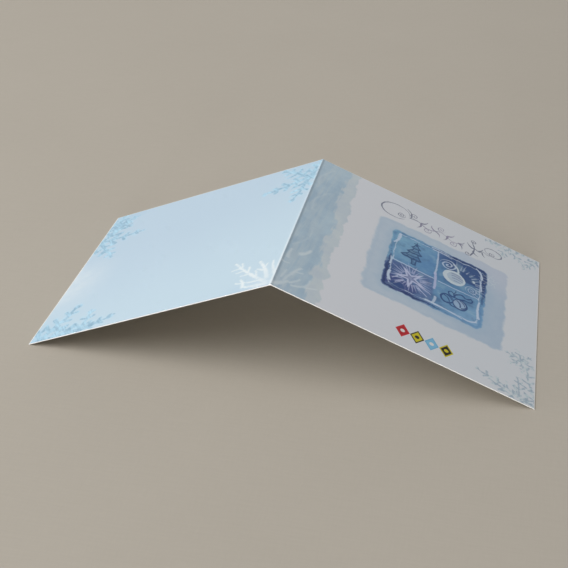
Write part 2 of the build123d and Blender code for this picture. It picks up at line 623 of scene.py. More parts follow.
def makeCard():
    stations = cardStations()
    depth = cadHigh.y - cadLow.y
    rowCount = round(depth / board["stepAlong"])
    edge = board["cutRound"]
    rows = [cadLow.y, cadLow.y + edge]
    rows += [cadLow.y + depth * i / rowCount for i in range(1, rowCount)]
    rows += [cadHigh.y - edge, cadHigh.y]
    lastRow, lastStation = len(rows) - 1, len(stations) - 1
    inset = edge / board["thickness"]
    half = stations[-1][2]

    points, outer, inner = [], {}, {}
    for i, y in enumerate(rows):
        for j, (top, under, along) in enumerate(stations):
            if i in (0, lastRow) or j in (0, lastStation):
                top, under = top.lerp(under, inset), under.lerp(top, inset)
            # the ridge is pressed unevenly, and each panel swells a little between its free edge and the fold
            nearFold = max(0.0, 1 - abs(along) / (2 * board["creaseReach"]))
            shake = noise.noise((y / board["creaseGrain"], along / mm, board["creaseSeed"]))
            shake *= board["creaseShake"] * nearFold
            swell = sin(pi * min(1.0, abs(along) / half)) * board["cockle"]
            grain = board["cockleGrain"]
            shake += swell * noise.noise((y / grain, along / grain, board["cockleSeed"]))
            points.append((top.x, y, top.y + shake))
            outer[i, j] = len(points) - 1
            points.append((under.x, y, under.y + shake))
            inner[i, j] = len(points) - 1

    faces = []      # corners, finish, and for each corner its place on the sheet and on the baked map
    frontPrint, backPrint, insideFace, cutEdge = range(4)

    def onBake(part, across, up):
        left, bottom, width, height = bakeLayout[part]
        return left + width * across, bottom + height * up

    def addFace(corners, finish, part, places, shares):
        faces.append((corners, finish, places, [onBake(part, *share) for share in shares]))

    def sheetPlace(i, j):
        return stations[j][2] / mm, (rows[i] - rows[0]) / mm

    for i in range(lastRow):
        for j in range(lastStation):
            corners = [(i, j), (i, j + 1), (i + 1, j + 1), (i + 1, j)]
            places = [sheetPlace(*c) for c in corners]
            rim = i in (0, lastRow - 1) or j in (0, lastStation - 1)
            up = [(rows[c[0]] - rows[0]) / depth for c in corners]
            isFront = stations[j][2] + stations[j + 1][2] > 0
            across = [abs(stations[c[1]][2]) / half for c in corners]
            if not isFront:
                across = [1 - a for a in across]
            part, finish = ("front", frontPrint) if isFront else ("back", backPrint)
            addFace([outer[c] for c in corners], cutEdge if rim else finish, part,
                    places, list(zip(across, up)))
            whole = [stations[c[1]][2] / half / 2 + 0.5 for c in corners]
            addFace([inner[c] for c in reversed(corners)], cutEdge if rim else insideFace, "inside",
                    places[::-1], list(zip(whole, up))[::-1])

    # the cut edges, each placed by its run along the edge and its depth through the board
    depthMm = board["thickness"] / mm
    runs = [("nearCut", [(0, j) for j in range(lastStation + 1)], False),
            ("farCut", [(lastRow, j) for j in range(lastStation + 1)], True),
            ("backCut", [(i, 0) for i in range(lastRow + 1)], True),
            ("frontCut", [(i, lastStation) for i in range(lastRow + 1)], False)]
    for part, run, turned in runs:
        acrossSheet = part in ("nearCut", "farCut")
        for here, then in zip(run, run[1:]):
            corners = [inner[here], inner[then], outer[then], outer[here]]
            along = [sheetPlace(*c)[0 if acrossSheet else 1] for c in (here, then, then, here)]
            span = (2 * half if acrossSheet else depth) / mm
            start = -half / mm if acrossSheet else 0.0
            deep = [depthMm, depthMm, 0.0, 0.0]
            places = list(zip(along, deep))
            shares = [((s - start) / span, 1 - d / depthMm) for s, d in places]
            if turned:
                corners, places, shares = corners[::-1], places[::-1], shares[::-1]
            addFace(corners, cutEdge, part, places, shares)

    mesh = bpy.data.meshes.new("foldedCard")
    mesh.from_pydata(points, [], [f[0] for f in faces])
    mesh.uv_layers.new(name="sheetPlace")
    mesh.uv_layers.new(name="OFBake")
    sheetUv, bakeUv = mesh.uv_layers["sheetPlace"].uv, mesh.uv_layers["OFBake"].uv
    loop = 0
    for polygon, (_, finish, places, shares) in zip(mesh.polygons, faces):
        polygon.material_index = finish
        polygon.use_smooth = True
        for place, share in zip(places, shares):
            sheetUv[loop].vector, bakeUv[loop].vector = place, share
            loop += 1
    mesh.set_sharp_from_angle(angle=radians(30))
    card = bpy.data.objects.new("foldedCard", mesh)
    bpy.context.scene.collection.objects.link(card)
    return card


card = makeCard()
print("card made:", len(card.data.polygons), "faces")


# a stroke is where it starts and ends, its bow, and its half width at each end
def strokes(place, rows, softness):
    def stroke(fromX, fromY, toX, toY, bow, startWidth, endWidth):
        run = Vector((toX - fromX, toY - fromY))
        return useGroup("brushStroke", place, start=(fromX, fromY), turn=atan2(run.y, run.x),
                        length=run.length, bow=bow, startWidth=startWidth, endWidth=endWidth,
                        softness=softness)

    return reduce(either, (stroke(*row) for row in rows))


# a crystal is its centre, turn, reach, half width of arm, space between branches and length of branch
def crystals(place, rows, softness):
    def crystal(x, y, turn, reach, armWidth, spacing, branchReach):
        return useGroup("iceCrystal", place, centre=(x, y), turn=radians(turn), reach=reach,
                        armWidth=armWidth, branchSpacing=spacing, branchReach=branchReach,
                        branchWidth=armWidth * 0.7, softness=softness)

    return reduce(either, (crystal(*row) for row in rows))


# a curl is its centre, turn, radius and pitch
def curl(place, row, **rest):
    x, y, turn, radius, pitch = row
    return useGroup("curl", place, centre=(x, y), turn=radians(turn), radius=radius, pitch=pitch, **rest)


# a wash patch or an oval that fills a box, which is its middle, half width and half height
def filled(name, place, box, **rest):
    x, y, halfWidth, halfHeight = box
    return useGroup(name, place, centre=(x, y), halfWidth=halfWidth, halfHeight=halfHeight, **rest)


# places on the sheet are in millimetres: x from the fold, minus on the back, and y from the near edge;
# a pair such as (24, 6) is where something starts to show and where it shows in full
whites = {
    "frost": "#eef8fc",
    "frame": "#d6e7fd",
    "lilac": "#c9d1f5",
}


# what the whole front is painted with: the hand's fine and loose shake, and the mottling of the washes
def takeBrush(place):
    hand = SimpleNamespace(place=place)
    hand.x, hand.y = split(place)
    hand.shaken = useGroup("handTremor", place, reach=0.45, grain=2.4)
    hand.loose = useGroup("handTremor", place, reach=1.5, grain=9.0, seed=4.0)
    hand.looseX, hand.looseY = split(hand.loose)
    hand.mottle = ease(grainNoise(place, 0.16, detail=4.0, roughness=0.6), 0.32, 0.68)
    hand.cloud = ease(grainNoise(place, 0.045, detail=3.0, seed=2.0), 0.38, 0.62)
    return hand


band = {
    "pale": ("#dde8ec", "#cfdde8"),
    "deep": ("#c6deed", "#aecadf"),
    "paleReach": 25.4,            # how far the pale strip reaches from the fold
    "paleEdge": (0.8, -0.5),      # where its soft edge starts and is full, past that reach
    "deepReach": 19.0,
    "deepEdge": (3.8, 1.4),
    "streakReach": (24, 6),
    "foldShade": "#8fa9bb",
    "foldShadeReach": (2.0, 0.7),
    "sweeps": [
        (3, 44, 10, 68, -2.5, 0.5, 0.2), (8, 36, 14, 52, -2, 0.5, 0.2), (5, 88, 12, 112, 3, 0.9, 0.3),
        (3, 118, 9, 140, 2, 0.8, 0.4)],
}


# beside the fold: a pale torn strip, then a deeper one, with clouds and sweeps of the brush in it, and
# painted shade right at the fold
def paintBand(hand, colour):
    torn, _ = split(useGroup("handTremor", hand.place, reach=4.0, grain=6.5, seed=30.0))
    streak = useGroup("dryBrush", hand.place, turn=radians(84), streakLength=26.0, streakWidth=3.0)
    tone = paint(*band["pale"], hand.cloud * 0.6 + hand.mottle * 0.4)
    outer, full = (band["paleReach"] + edge for edge in band["paleEdge"])
    colour = paint(colour, tone, ease(torn, outer, full), strength=0.95)
    tone = paint(*band["deep"], hand.cloud * 0.7 + hand.mottle * 0.3)
    swayed = hand.looseX * 0.3 + torn * 0.7 + hand.cloud * 4.0 + streak * 1.5
    outer, full = (band["deepReach"] + edge for edge in band["deepEdge"])
    colour = paint(colour, tone, ease(swayed, outer, full), strength=0.96)
    colour = paint(colour, band["pale"][0], ease(hand.x, *band["streakReach"]) * streak, strength=0.35)
    colour = paint(colour, whites["frost"], strokes(hand.loose, band["sweeps"], softness=0.9), strength=0.26)
    # painted shade along the fold, where the steeper crease strip would fall darker
    return paint(colour, band["foldShade"], ease(hand.x, *band["foldShadeReach"]), strength=0.4)


wash = {
    "box": (85.6, 75.9, 42.2, 40.4),
    "tones": ("#cedeed", "#bed2e6"),
    "toneRun": (70, 128),
    "halo": "#b4cfe6",
    "haloReach": (3, 2),          # how far the bluer halo spreads past the picture, each way
    "haloDrop": 1,                # how much lower than the picture it lies
    "light": "#d7dfee",
    "lift": (222, 266),           # where the brush lifted, on the way to the far outer corner
}


# the square of wash under the picture, lighter where the brush lifted, bluer round the picture
def paintWash(hand, colour):
    place = hand.place
    inside, rim = filled("washPatch", place, wash["box"], corner=4.5, ragged=3.2, grain=8.0, softness=1.0,
                         rimDepth=1.8)
    tone = paint(*wash["tones"], ease(hand.x, *wash["toneRun"]) * 0.7 + hand.mottle * 0.35)
    x, y, halfWidth, halfHeight = picture["box"]
    reachX, reachY = wash["haloReach"]
    haloBox = (x, y - wash["haloDrop"], halfWidth + reachX, halfHeight + reachY)
    halo, _ = filled("washPatch", place, haloBox, corner=6.0, ragged=4.0, grain=7.0, softness=3.4, seed=17.0)
    tone = paint(tone, wash["halo"], halo, strength=0.5)
    lift = ease(hand.x + hand.y * 1.3, *wash["lift"])
    tone = paint(tone, wash["light"], lift, strength=0.75)
    colour = paint(colour, tone, inside, strength=0.97)
    return paint(colour, wash["tones"][1], rim * inside * (1.0 - lift), strength=0.3)


picture = {
    "box": (84.6, 76.8, 30.4, 30.9),
    "cross": (83.5, 75),                  # where the four fields meet
    "crossBlend": 1,                      # how far they run into each other
    # each field: its first and second colour, and along its own slant where one turns to the other
    "sky": ("#97cae4", "#6197cc"),        # upper left
    "skyRun": (-8, 32),
    "night": ("#659dcb", "#4b72aa"),      # upper right
    "nightRun": (128, 146),
    "dusk": ("#4e6ba4", "#7799c9"),       # lower left
    "duskRun": (54, 76),
    "ice": ("#6398c7", "#93c0e6"),        # lower right
    "iceRun": (32, 56),
    "deep": "#27508e",
    "deepBlot": (103, 97.5, 13, 11),
    "violet": "#3b478d",
    "violetBlot": (65, 53.5, 10.5, 6),
    "glaze": "#34598f",
    "lit": "#b4dbea",
    "outline": "#263f77",
    "outlineFade": (150, 92),             # it grows fainter towards the right
    "faintDiagonal": 160,                 # x + y of the two corners where the outline is faint
    "heavyFrom": (12, 42),                # how far off that diagonal it grows heavy
}


# the picture: four fields of blue in a dark outline
def paintPicture(hand, colour):
    place, looseX, looseY = hand.place, hand.looseX, hand.looseY
    inside, rim = filled("washPatch", place, picture["box"], corner=4.0, ragged=1.9, grain=5.0, softness=0.5,
                         rimDepth=1.7, seed=3.0)
    brushed = hand.brushed = useGroup("dryBrush", place, turn=radians(20), streakLength=7.0,
                                      streakWidth=0.9, contrast=0.2)
    body = hand.mottle * 0.5 + brushed * 0.5
    (crossX, crossY), blend = picture["cross"], picture["crossBlend"]
    sky = paint(*picture["sky"], ease(looseX - looseY * 0.6, *picture["skyRun"]) * 0.75 + body * 0.4)
    night = paint(*picture["night"], ease(looseX * 0.5 + looseY, *picture["nightRun"]) * 0.8 + body * 0.4)
    toRight = ease(looseX, crossX - blend, crossX + blend)
    upper = paint(sky, night, toRight)
    dusk = paint(*picture["dusk"], body * ease(looseX, *picture["duskRun"]))
    ice = paint(*picture["ice"], ease(looseX - looseY, *picture["iceRun"]) * 0.6 + body * 0.4)
    lower = paint(dusk, ice, toRight)
    tone = paint(lower, upper, ease(looseY, crossY - blend, crossY + blend))
    blot, _ = filled("washPatch", place, picture["deepBlot"], corner=8.0, ragged=4.0, grain=5.0,
                     softness=1.6, seed=6.0)
    tone = paint(tone, picture["deep"], blot * (body * 0.3 + 0.7), strength=0.95)
    blot, _ = filled("washPatch", place, picture["violetBlot"], corner=5.0, ragged=4.0, grain=4.0,
                     softness=1.6, seed=8.0)
    tone = paint(tone, picture["violet"], blot * (body * 0.4 + 0.6), strength=0.95)
    pooled = grainNoise(place, 0.13, detail=3.0, seed=21.0)
    tone = paint(tone, picture["glaze"], ease(pooled, 0.5, 0.68), strength=0.45)
    tone = paint(tone, picture["lit"], ease(pooled, 0.48, 0.3) * (body * 0.5 + 0.5), strength=0.4)
    colour = paint(colour, tone, inside, strength=0.98)

    # the outline is heavy at the lower left and upper right, and fades at the other corners
    heavy = ease(calc("ABSOLUTE", hand.x + hand.y - picture["faintDiagonal"]), *picture["heavyFrom"])
    dark = ease(rim * (0.35 + heavy) + brushed * 0.35 + pooled * 0.5, 0.85, 1.25)
    dark = dark * inside * ease(hand.x, *picture["outlineFade"])
    colour = paint(colour, picture["outline"], dark, strength=0.9)
    return paint(colour, picture["sky"][1], rim * inside * (1.0 - heavy), strength=0.5)


windowFrame = {
    "box": (84.4, 77.6, 27.8, 28.4),
    "accents": [
        (57.6, 62.5, 58.6, 54, -0.8, 1, 0.8), (56.6, 70, 56.3, 77.5, -0.3, 0.5, 0.3),
        (56, 94, 58.6, 104.6, -1.2, 0.6, 0.9), (108, 106, 112, 97, 1, 0.5, 0.6),
        (110.6, 95, 112.2, 84, 0.5, 0.35, 0.45), (112, 72, 112.4, 56, -0.8, 0.5, 0.9),
        (79, 106.4, 90, 106, 0.7, 0.5, 0.3), (80, 105, 92, 104.2, 0.3, 0.4, 0.3),
        (81, 50.6, 103, 48.6, 0.8, 0.8, 0.35), (104, 49.4, 111.4, 51.6, -0.9, 0.5, 0.6)],
    "bars": [
        (83.2, 105, 83.6, 80, 0.4, 0.45, 0.6), (57.5, 75.8, 83, 75, -0.3, 0.5, 0.45),
        (86, 74.6, 112, 75.2, -0.5, 0.4, 0.3), (85.9, 57.5, 84.6, 50.5, 0.5, 0.9, 0.7),
        (85, 51.5, 87.6, 50.2, -0.3, 0.8, 0.5)],
    "lilacBar": [(83.6, 81, 84.5, 65.5, 0.3, 0.85, 0.75)],
}


# the white frame and cross bars over the picture, broken as a dry brush breaks them
def paintWindowFrame(hand, colour):
    white = whites["frame"]
    _, line = filled("washPatch", hand.place, windowFrame["box"], corner=4.0, ragged=1.6, grain=5.0,
                     rimDepth=0.8, seed=12.0)
    colour = paint(colour, white, ease(line + hand.brushed * 0.7, 0.7, 1.3), strength=0.72)
    colour = paint(colour, white, strokes(hand.shaken, windowFrame["accents"], softness=0.3), strength=0.88)
    colour = paint(colour, white, strokes(hand.shaken, windowFrame["bars"], softness=0.25), strength=0.75)
    lilac = strokes(hand.shaken, windowFrame["lilacBar"], softness=0.3)
    return paint(colour, whites["lilac"], lilac, strength=0.88)


fir = {
    "ink": "#2f5486",
    "shade": [
        (63.8, 85.9, 72.8, 86, -0.6, 1, 0.9), (66.2, 88.6, 72, 88.4, -0.3, 0.9, 0.7),
        (66.6, 91.9, 72.4, 92, -0.5, 0.9, 0.8), (68, 94.4, 71.4, 94.4, -0.2, 0.7, 0.6),
        (68.4, 97.8, 71.2, 97.8, -0.3, 0.7, 0.6), (69.2, 83.4, 70, 79.8, 0, 0.8, 0.9)],
    "branches": [
        (62, 85.6, 65.6, 84.9, -0.7, 0.7, 0.8), (65.6, 85.4, 69.6, 84.5, -0.6, 0.8, 0.8),
        (69.6, 85, 73.8, 85.2, -0.7, 0.8, 0.6), (62.3, 86, 66.4, 90.6, -0.4, 0.5, 0.35),
        (73.7, 85.8, 71.4, 90.6, 0.4, 0.5, 0.35), (64.4, 87.4, 72.6, 87.9, -0.6, 0.55, 0.45),
        (65, 91.3, 69.2, 90.6, -0.5, 0.6, 0.75), (69.2, 91, 73.6, 91.4, -0.6, 0.75, 0.5),
        (65.2, 91.6, 68.4, 96.2, -0.4, 0.45, 0.35), (73.4, 91.8, 71, 96.2, 0.4, 0.45, 0.35),
        (66.8, 93.2, 72, 93.6, -0.5, 0.5, 0.4), (67.2, 96.8, 72.2, 96.9, -0.7, 0.5, 0.6),
        (67.4, 97, 69.5, 101.2, -0.2, 0.4, 0.35), (72, 97, 70, 101.2, 0.2, 0.4, 0.35),
        (68.2, 101.6, 71.6, 101.2, 0.2, 0.4, 0.35), (69.8, 99.4, 69.8, 103.2, 0, 0.45, 0.3),
        (68.2, 84, 68.7, 79.4, 0.2, 0.45, 0.5), (68.7, 79.3, 71, 79.3, -0.3, 0.6, 0.6),
        (71, 79.4, 71.4, 84, 0.2, 0.5, 0.4)],
}


def paintFir(hand, colour):
    colour = paint(colour, fir["ink"], strokes(hand.shaken, fir["shade"], softness=0.4), strength=0.45)
    return paint(colour, fir["ink"], strokes(hand.shaken, fir["branches"], softness=0.24), strength=0.9)


bauble = {
    "glass": "#dcebf5",
    "box": (95.4, 85.4, 6.1, 5.9),
    "hatchInk": "#7d90bd",
    "hatch": [
        (93.4, 89, 98.6, 88.6, 0.5, 0.3, 0.25), (93.6, 86.9, 100.4, 86.3, 0.6, 0.4, 0.3),
        (94.2, 84.7, 100.6, 84.1, 0.5, 0.4, 0.3), (95.4, 82.5, 99.4, 82.1, 0.4, 0.3, 0.2)],
    "cord": [
        (93.6, 98.8, 97, 91.6, 1.4, 0.5, 0.8), (94.8, 91.4, 98, 91, 0.2, 0.8, 0.7),
        (107, 90.4, 107.2, 89.6, 0, 0.9, 0.8)],
    "ribbon": (90.4, 95.8, 40, 6, 2.6),
    "swirl": (106.4, 80.2, 120, 4.2, 1.8),
    "needleCentre": (97, 84),
    "needleReach": (12, 21),
    "needleStart": (150, 156),    # needles show only up and right of this slant
    "needleEnd": (118, 113),
}


# the bauble, its ribbon, and the needles it hangs among
def paintBauble(hand, colour):
    shaken = hand.shaken
    inner, outer = bauble["needleReach"]
    needles = useGroup("rays", shaken, centre=bauble["needleCentre"], count=36.0, innerRadius=inner,
                       outerRadius=outer, lineWidth=0.4, softness=0.2)
    needles = needles * ease(hand.x + hand.y * 0.6, *bauble["needleStart"])
    needles = needles * ease(hand.x, *bauble["needleEnd"])
    colour = paint(colour, whites["frame"], needles, strength=0.5)
    line, inside = filled("oval", shaken, bauble["box"], lineWidth=0.95, swell=0.5, heavySide=radians(215),
                          softness=0.25)
    colour = paint(colour, bauble["glass"], inside, strength=0.7)
    colour = paint(colour, bauble["hatchInk"], strokes(shaken, bauble["hatch"], softness=0.25), strength=0.8)
    colour = paint(colour, bauble["glass"], line, strength=0.97)
    ribbon = curl(shaken, bauble["ribbon"], squash=0.85, lineWidth=0.5, softness=0.25)
    swirl = curl(shaken, bauble["swirl"], lineWidth=0.36, softness=0.25)
    colour = paint(colour, whites["frame"], either(ribbon, swirl * 0.7), strength=0.78)
    return paint(colour, bauble["glass"], strokes(shaken, bauble["cord"], softness=0.3), strength=0.9)


star = {
    "body": "#d4dbfa",
    "shade": "#6a76ad",
    "centre": (70.2, 64.2),
    "radii": (10, 3.2),           # to the points, and to the notches between them
    "pleatRadii": (7, 2),
    "rays": [
        (76, 60.5, 83.2, 57.4, 0.4, 0.5, 0.25), (75.4, 57.8, 81, 53.6, 0.3, 0.5, 0.25),
        (62.6, 60.6, 59.8, 57.2, 0.2, 0.45, 0.3), (77.6, 66.4, 82.6, 68.8, 0.3, 0.4, 0.2),
        (66, 58.2, 62, 54.4, -0.4, 0.4, 0.3)],
    "glitterCentre": (70.3, 63.9),
    "glitterReach": (5.5, 15.5),
    "glitterFrom": (47, 52),
    "duskyBerry": (63.8, 51.8, 4.6, 4.2),
}


# the star and its glitter, over a dusky berry
def paintStar(hand, colour):
    shaken = hand.shaken
    line, inside = filled("oval", shaken, star["duskyBerry"], lineWidth=0.4, heavySide=radians(60),
                          softness=0.3)
    colour = paint(colour, picture["deep"], inside, strength=0.6)
    colour = paint(colour, star["shade"], line, strength=0.7)
    inner, outer = star["glitterReach"]
    glitter = useGroup("rays", shaken, centre=star["glitterCentre"], count=30.0, innerRadius=inner,
                       outerRadius=outer, lineWidth=0.5, softness=0.22, seed=7.0)
    colour = paint(colour, whites["lilac"], glitter * ease(hand.y, *star["glitterFrom"]), strength=0.6)
    colour = paint(colour, star["body"], strokes(shaken, star["rays"], softness=0.25), strength=0.8)
    outer, inner = star["radii"]
    inside, line = useGroup("star", shaken, centre=star["centre"], turn=radians(-94), outerRadius=outer,
                            innerRadius=inner, lineWidth=0.55, softness=0.25)
    colour = paint(colour, star["body"], inside, strength=0.5)
    outer, inner = star["pleatRadii"]
    heart, pleat = useGroup("star", hand.loose, centre=star["centre"], turn=radians(-84), outerRadius=outer,
                            innerRadius=inner, lineWidth=0.3, softness=0.25)
    colour = paint(colour, star["shade"], heart * 0.35 + pleat * 0.6, strength=0.8)
    return paint(colour, star["body"], line, strength=0.85)


berries = {
    "ink": "#264e8a",
    "left": (92.8, 61.6, 3.7, 4.1),
    "right": (100.8, 61, 4.2, 4.6),
    "bow": [
        (96.8, 65.8, 93.6, 67, 0.6, 0.7, 0.5), (93.6, 67, 94.6, 70.2, 0.9, 0.5, 0.4),
        (94.6, 70.2, 96.8, 66.8, 0.6, 0.4, 0.6), (96.9, 66.4, 99.6, 70.6, 0.6, 0.7, 0.6),
        (99.6, 70.6, 103.2, 69.6, 1, 0.6, 0.5), (103.2, 69.6, 106.8, 71.6, -0.7, 0.5, 0.4),
        (106.8, 71.6, 107.4, 68.2, 0.7, 0.4, 0.5), (107.4, 68.2, 103.6, 67.4, 0.4, 0.5, 0.4),
        (97.2, 65.8, 102.8, 67.2, -0.6, 0.6, 0.7), (96.2, 68.8, 97.4, 72.4, -0.4, 0.35, 0.3),
        (91, 64.2, 94.4, 59.4, 0.9, 0.5, 0.35), (92.6, 65.2, 95.6, 62, 0.6, 0.5, 0.3),
        (93.4, 58.2, 96, 60.2, -0.5, 0.5, 0.35), (98.6, 63.8, 101, 58.8, 1, 0.35, 0.45),
        (100.6, 64.8, 103.6, 61.2, 0.8, 0.4, 0.3), (102, 58, 104.4, 60.6, -0.5, 0.5, 0.3),
        (95.2, 57.2, 98.6, 56.6, -0.4, 0.5, 0.4)],
}


# two berries on a bow, with the light in the right one
def paintBerries(hand, colour):
    shaken = hand.shaken
    left, _ = filled("oval", shaken, berries["left"], lineWidth=0.5, heavySide=radians(190), softness=0.25)
    right, lit = filled("oval", shaken, berries["right"], lineWidth=0.5, heavySide=radians(320),
                        softness=0.25)
    colour = paint(colour, whites["frame"], lit, strength=0.4)
    drawn = either(either(left, right), strokes(shaken, berries["bow"], softness=0.24))
    return paint(colour, berries["ink"], drawn, strength=0.9)


vine = {
    "ink": ("#566080", "#9c92b4"),
    "middle": 82,
    "middleReach": (20, 8),       # how near its middle the ink grows pale
    "firstLoop": (52.3, 128.4, 9.3, 7.6),
    "loopGap": (-2.4, -3.6),      # a slant that leaves the first loop open on its right
    "lastLoop": (117.2, 131.6, 5.6, 4.1),
    # each stem: start, turn, length, height and pitch of its waves
    "stems": [(61.4, 127, -4, 36, 2, 17), (103, 126.6, 4, 12, 1, 6.4)],
    "curls": [
        (56.4, 126.4, 0, 2.9, 1.4), (64.6, 131.4, 60, 3.2, 1.9), (73.8, 122.6, 200, 3.1, 1.9),
        (82.6, 131, 90, 3, 1.8), (91, 121.4, 230, 2.9, 1.8), (104, 134, 20, 2.2, 1.4),
        (101, 118.4, 150, 2.2, 1.4), (116, 129.6, 200, 2.3, 1.4)],
    "leaves": [
        (69.8, 127.6, 73.4, 131.8, -0.9, 0.75, 0.08), (69.4, 126.4, 67.4, 120.8, 0.8, 0.75, 0.08),
        (78.2, 126.2, 76, 130.8, 0.8, 0.7, 0.08), (79, 126, 82.2, 121.4, 0.9, 0.75, 0.08),
        (87.4, 127.2, 91, 131.2, -0.9, 0.7, 0.08), (86.8, 126.2, 84.6, 120.6, 0.8, 0.75, 0.08),
        (94.6, 125, 98, 128.6, -0.8, 0.65, 0.08), (95.2, 124.4, 97, 120, 0.7, 0.65, 0.08),
        (102.4, 134.2, 102.8, 118, 2.2, 0.3, 0.55), (103.6, 127, 100, 131.2, 0.8, 0.65, 0.08),
        (104.2, 123.4, 108, 120.2, -0.8, 0.65, 0.08), (108, 127, 110.4, 130.8, -0.5, 0.55, 0.08),
        (110.2, 126.2, 112, 122.8, -0.4, 0.55, 0.08), (59.2, 136.2, 62.2, 127.6, 1.8, 0.25, 0.45)],
}


# a vine of penwork above the picture, between two loops, paler towards its middle
def paintVine(hand, colour):
    shaken = hand.shaken
    loop, _ = filled("oval", shaken, vine["firstLoop"], turn=radians(8), lineWidth=0.28, swell=0.5,
                     heavySide=radians(170), softness=0.2)
    pen = loop * ease(hand.x - hand.y * 0.5, *vine["loopGap"])
    loop, _ = filled("oval", shaken, vine["lastLoop"], turn=radians(-8), lineWidth=0.26, swell=0.5,
                     heavySide=radians(30), softness=0.2)
    pen = either(pen, loop)
    for x, y, turn, length, height, pitch in vine["stems"]:
        stem = useGroup("penWave", shaken, start=(x, y), turn=radians(turn), length=length, height=height,
                        pitch=pitch, lean=0.0, lineWidth=0.26, softness=0.2)
        pen = either(pen, stem)
    for row in vine["curls"]:
        pen = either(pen, curl(shaken, row, lineWidth=0.24, softness=0.2))
    pen = either(pen, strokes(shaken, vine["leaves"], softness=0.2))
    middle = ease(calc("ABSOLUTE", hand.x - vine["middle"]), *vine["middleReach"])
    return paint(colour, paint(*vine["ink"], middle * (hand.mottle * 0.5 + 0.5)), pen, strength=0.85)


frost = {
    "pale": ("#d9e9ee", "#a8bfd0"),
    "corners": [
        (147, 149, 4, 21, 1, 4.4, 7), (127, 147, 10, 16, 0.9, 4, 6), (149.5, 1, 103, 37, 1, 6, 10),
        (140, 0, 96, 20, 0.8, 5, 7), (138.6, 36, 104, 9, 0.7, 3.6, 4)],
    "splash": [(115.6, 100, 12, 7, 0.35, 3.4, 4)],
    "mistHeight": 8,              # where the mist over the fold lies thickest
    "mistReach": (26, 2),
}

# white frost that spreads over the near end of the fold, onto both panels
foldFrost = [
    (-2, 3, -28.4, 33, 1.2, 1.3, 0.6), (-24.4, 27, -28.8, 25.6, 0.4, 0.8, 0.5),
    (-23.2, 27.2, -24.4, 31.4, -0.3, 0.7, 0.4), (-20.6, 23, -25.4, 22, 0.3, 0.6, 0.4),
    (-18.2, 20.4, -18.6, 25.6, -0.4, 0.7, 0.4), (-16.8, 18.2, -21.6, 17.4, 0.3, 0.7, 0.4),
    (-12, 13.4, -13.4, 19.4, -0.4, 0.8, 0.4), (-4.4, 9, -13, 28.8, -0.8, 1.4, 0.7),
    (-8.2, 18, -12.6, 20.8, 0.2, 0.7, 0.4), (-8.4, 20, -7.4, 24.8, 0.2, 0.6, 0.4),
    (-0.9, 12, -4.6, 26, 0.4, 0.9, 0.5), (-8.4, 8.6, -18.6, 9.6, 0.9, 0.9, 0.6),
    (-17.4, 4.6, -20.4, 13.2, -0.6, 1, 0.6), (-9, 3.4, -17.6, 5, 0.6, 1.1, 0.8),
    (-18.2, 8.6, -22.6, 10.4, 0.2, 0.6, 0.4), (-1, 3.4, -9.6, 2.2, 0, 1.9, 1),
    (0.4, 2.4, 7.4, 9.4, -0.6, 1.4, 0.8), (8.4, 9, 13, 15.2, -0.3, 0.8, 0.5),
    (5.6, 8, 8, 17, 0.6, 0.8, 0.7), (7.8, 16.6, 11.8, 25.4, 0.5, 0.9, 0.6),
    (9.8, 20.6, 13.4, 21.6, -0.2, 0.6, 0.4), (3.5, 11, 4.7, 18.6, 0, 0.6, 0.4),
    (10.4, 7.6, 18.2, 18, -2.6, 0.9, 0.5), (16.6, 10.6, 22.8, 13.6, -0.3, 0.8, 0.5),
    (1.2, 25.4, 4.8, 25.4, -0.4, 0.7, 0.4), (2.8, 30.4, 3.2, 39.2, 0.3, 1, 0.6),
    (8.6, 38.2, 13.2, 45, -0.5, 1.2, 0.8)]


# pale frost in the outer corners, a splash of it beside the picture, and frost over the fold in its own mist
def paintFrost(hand, colour):
    white = whites["frost"]
    drifted = useGroup("handTremor", hand.place, reach=2.2, grain=6.0, seed=15.0)
    ice = crystals(drifted, frost["corners"], softness=0.4)
    broken = grainNoise(hand.place, 0.42, detail=2.0, seed=9.0)
    tone = paint(*frost["pale"], ease(broken, 0.42, 0.6))
    colour = paint(colour, tone, ice * ease(broken, 0.34, 0.46), strength=0.85)
    colour = paint(colour, white, crystals(drifted, frost["splash"], softness=0.3), strength=0.32)
    mist = ease(lengthOf(hand.x, hand.y - frost["mistHeight"]), *frost["mistReach"])
    colour = paint(colour, white, mist * hand.mottle, strength=0.3)
    return paint(colour, white, strokes(hand.shaken, foldFrost, softness=0.8), strength=0.55)


lozenges = {
    "halfWidth": 4.1,
    "halfHeight": 5.7,
    "borderWidth": 0.7,
    "middleRadius": 1.3,
    "height": 13.6,               # of their middles, from the near edge
    # each lozenge: its middle, then the colours of its field, border and round middle
    "tiles": [
        (72, "#c8202b", "#d8303a", "#f4f2f0"), (80.3, "#e0d21e", "#2a2620", "#2a2620"),
        (88.6, "#8ccdf0", "#7fc2e8", "#f4f2f0"), (97, "#2a2620", "#e0d21e", "#e0d21e")],
}


def paintLozenges(hand, colour):
    for x, field, border, middle in lozenges["tiles"]:
        inside, edge, dot = useGroup("lozenge", hand.place, centre=(x, lozenges["height"]),
                                     halfWidth=lozenges["halfWidth"], halfHeight=lozenges["halfHeight"],
                                     borderWidth=lozenges["borderWidth"],
                                     middleRadius=lozenges["middleRadius"])
        for ink, mask in ((field, inside), (border, edge), (middle, dot)):
            colour = paint(colour, ink, mask)
    return colour


frontPaper = {
    "tones": ("#edf0f6", "#e9eef4"),
    "toneRun": (20, 140),
}


def paintFront(place):
    hand = takeBrush(place)
    colour = paint(*frontPaper["tones"], ease(hand.x, *frontPaper["toneRun"]))
    for paintPart in (paintBand, paintWash, paintPicture, paintWindowFrame, paintFir, paintBauble, paintStar,
                      paintBerries, paintVine, paintFrost, paintLozenges):
        colour = paintPart(hand, colour)
    return colour


